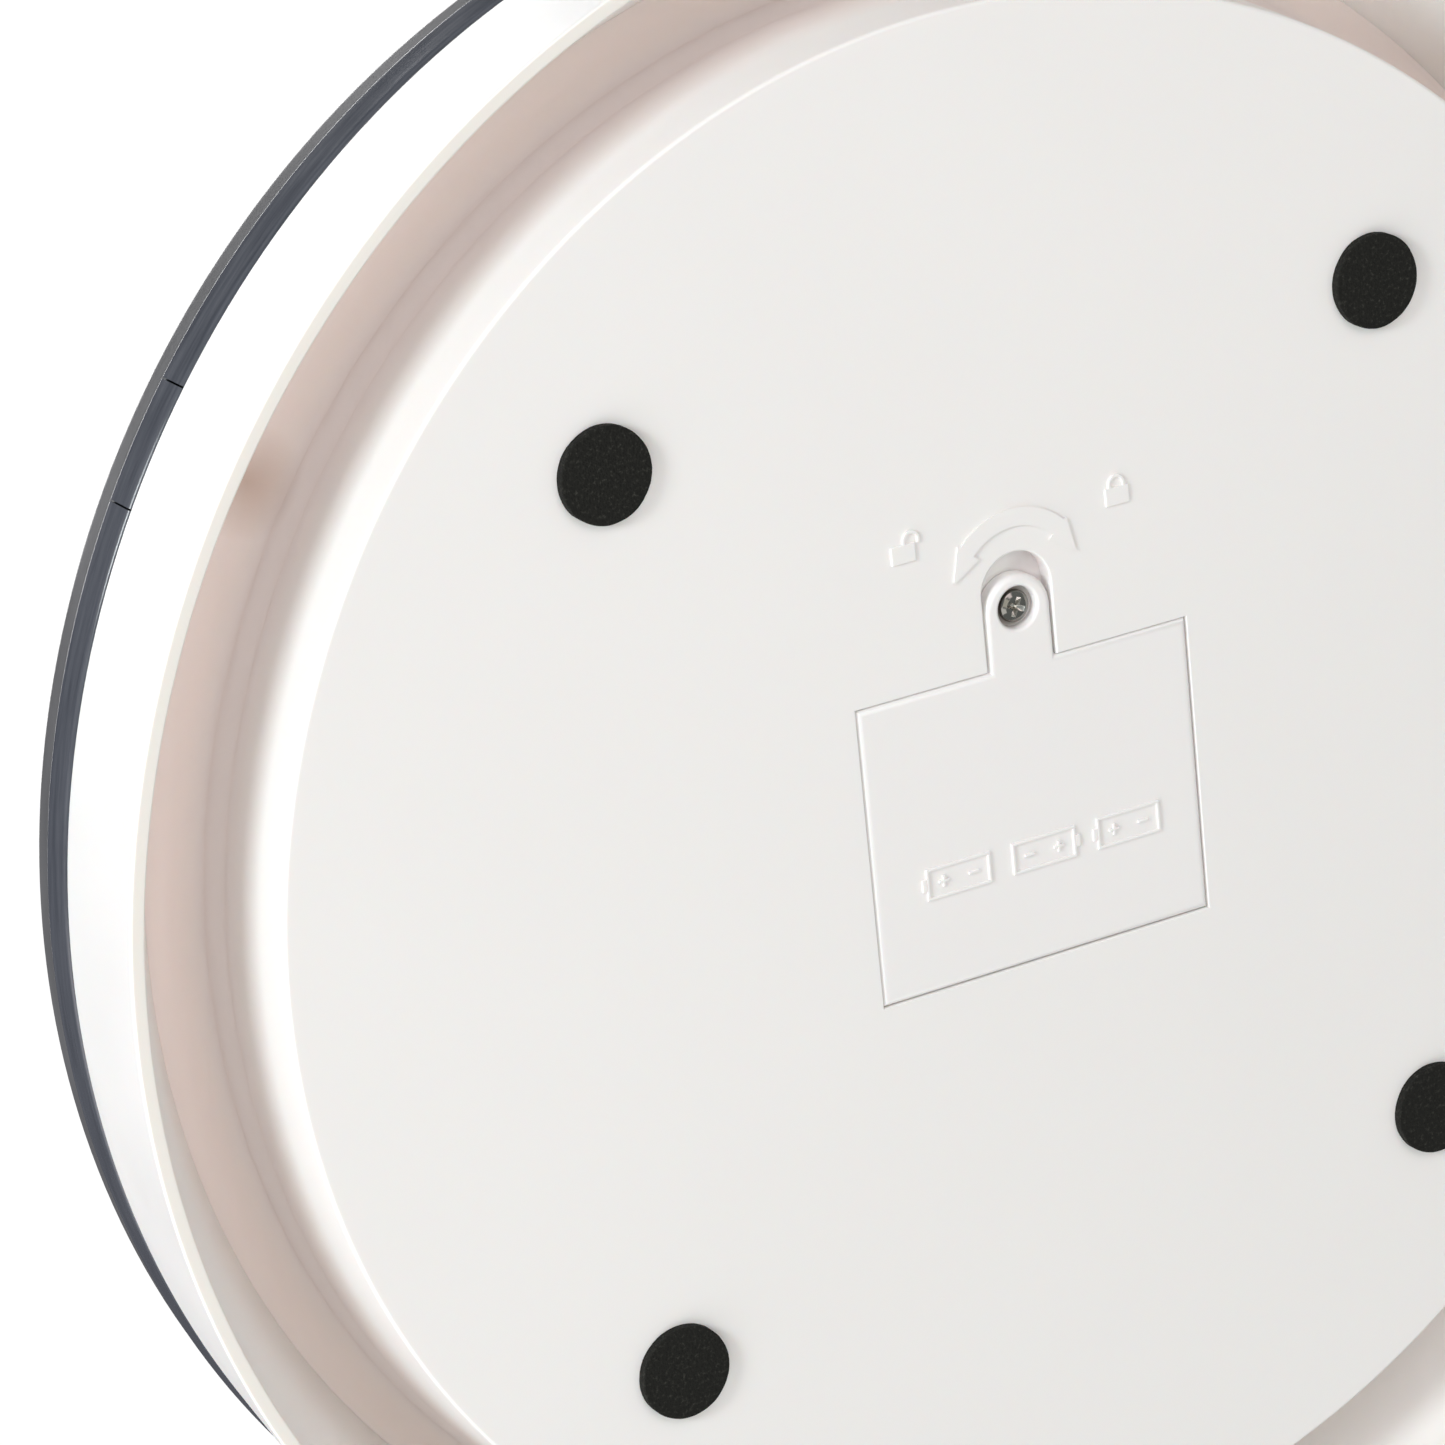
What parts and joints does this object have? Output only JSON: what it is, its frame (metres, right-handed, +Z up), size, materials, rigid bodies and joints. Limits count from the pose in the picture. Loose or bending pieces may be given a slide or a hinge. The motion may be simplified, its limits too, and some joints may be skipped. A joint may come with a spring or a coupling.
{
  "type": "digital bathroom scale",
  "caption": "Round bathroom scale: a glass platform on load cells over a white base with foam feet, a finger groove under its skirt and a screwed battery cover.",
  "frame": {"origin": "on the floor under the middle of the scale", "axes": "+Z up through the platform; the display is toward +Y and the battery cover's screw tab toward -Y"},
  "size_m": [0.3028, 0.3028, 0.047],
  "materials": {
    "base_white": "white ABS with a fine satin grain",
    "cover_white": "white ABS, satin, slightly warmer than the base",
    "foot_foam": "die-cut closed-cell black foam, speckled",
    "trim_grey": "dark grey injection moulding, glossy",
    "glass_dark": "tempered glass printed dark on its back, satin ground edge",
    "tray_black": "black glass-filled moulding, matt",
    "steel": "cold-rolled steel, plain",
    "nickel": "nickel-plated steel, light wear",
    "brass": "turned brass, plain",
    "holder_grey": "dark grey nylon moulding, matt",
    "board_green": "solder mask over glass epoxy",
    "lcd_grey": "display cell, glossy",
    "guide_white": "milky light guide, satin",
    "cell_wrap": "plain printed sleeve on a steel can, glossy",
    "tape_black": "double-sided foam tape",
    "nylon": "natural nylon",
    "wire_red": "soft PVC insulation, red",
    "wire_black": "soft PVC insulation, black",
    "wire_grey": "soft PVC sleeve, grey"
  },
  "bodies": {
    "base": {"base_pan": "base_white", "skirt_ring": "base_white", "foam_foot_1": "foot_foam", "foam_foot_2": "foot_foam", "foam_foot_3": "foot_foam", "foam_foot_4": "foot_foam", "screw_insert": "brass", "battery_contact_positive": "nickel", "battery_contact_link_1": "nickel", "battery_contact_link_2": "nickel", "battery_contact_negative": "nickel", "battery_cell_1": "cell_wrap", "battery_cell_2": "cell_wrap", "battery_cell_3": "cell_wrap", "battery_lead_positive": "wire_red", "battery_lead_negative": "wire_black", "load_button_1": "steel", "load_button_2": "steel", "load_button_3": "steel", "load_button_4": "steel", "shoulder_screw_1": "steel", "shoulder_screw_2": "steel", "shoulder_screw_3": "steel", "shoulder_screw_4": "steel"},
    "platform": {"platform_tray": "tray_black", "trim_band": "trim_grey", "trim_band_joiner": "trim_grey", "glass_adhesive": "tape_black", "glass_platform": "glass_dark", "display_lcd": "lcd_grey", "display_light_guide": "guide_white", "main_board": "board_green", "load_cell_holder_1": "holder_grey", "load_cell_holder_2": "holder_grey", "load_cell_holder_3": "holder_grey", "load_cell_holder_4": "holder_grey", "load_cell_plate_1": "steel", "load_cell_plate_2": "steel", "load_cell_plate_3": "steel", "load_cell_plate_4": "steel", "load_cell_cable_1": "wire_grey", "load_cell_cable_2": "wire_grey", "load_cell_cable_3": "wire_grey", "load_cell_cable_4": "wire_grey", "board_screw_1": "steel", "board_screw_2": "steel", "board_screw_3": "steel", "board_screw_4": "steel"},
    "cover": {"battery_cover": "cover_white"},
    "screw_carrier": {"screw_retaining_ring": "nylon"},
    "screw": {"battery_screw": "nickel"}
  },
  "joints": [
    {"name": "platform_travel", "type": "slide", "parent": "base", "child": "platform", "axis": [0, 0, -1], "range_m": [0, 0.0005], "stiffness_N_per_m": 20000, "springref_m": -0.001},
    {"name": "battery_cover_hinge", "type": "hinge", "parent": "base", "child": "cover", "pos_m": [0.0005, 0.0244, 0.0015], "axis": [1, 0, 0], "range_deg": [0, 75]},
    {"name": "battery_screw_travel", "type": "slide", "parent": "cover", "child": "screw_carrier", "axis": [0, 0, -1], "range_m": [0, 0.003]},
    {"name": "battery_screw_turn", "type": "hinge", "parent": "screw_carrier", "child": "screw", "pos_m": [0.0005, -0.0335, 0.003], "axis": [0, 0, -1], "range_deg": [0, 1440]}
  ],
  "couplings": [
    {"joint": "battery_screw_turn", "follows": "battery_screw_travel", "rad_per_m": 8377}
  ]
}
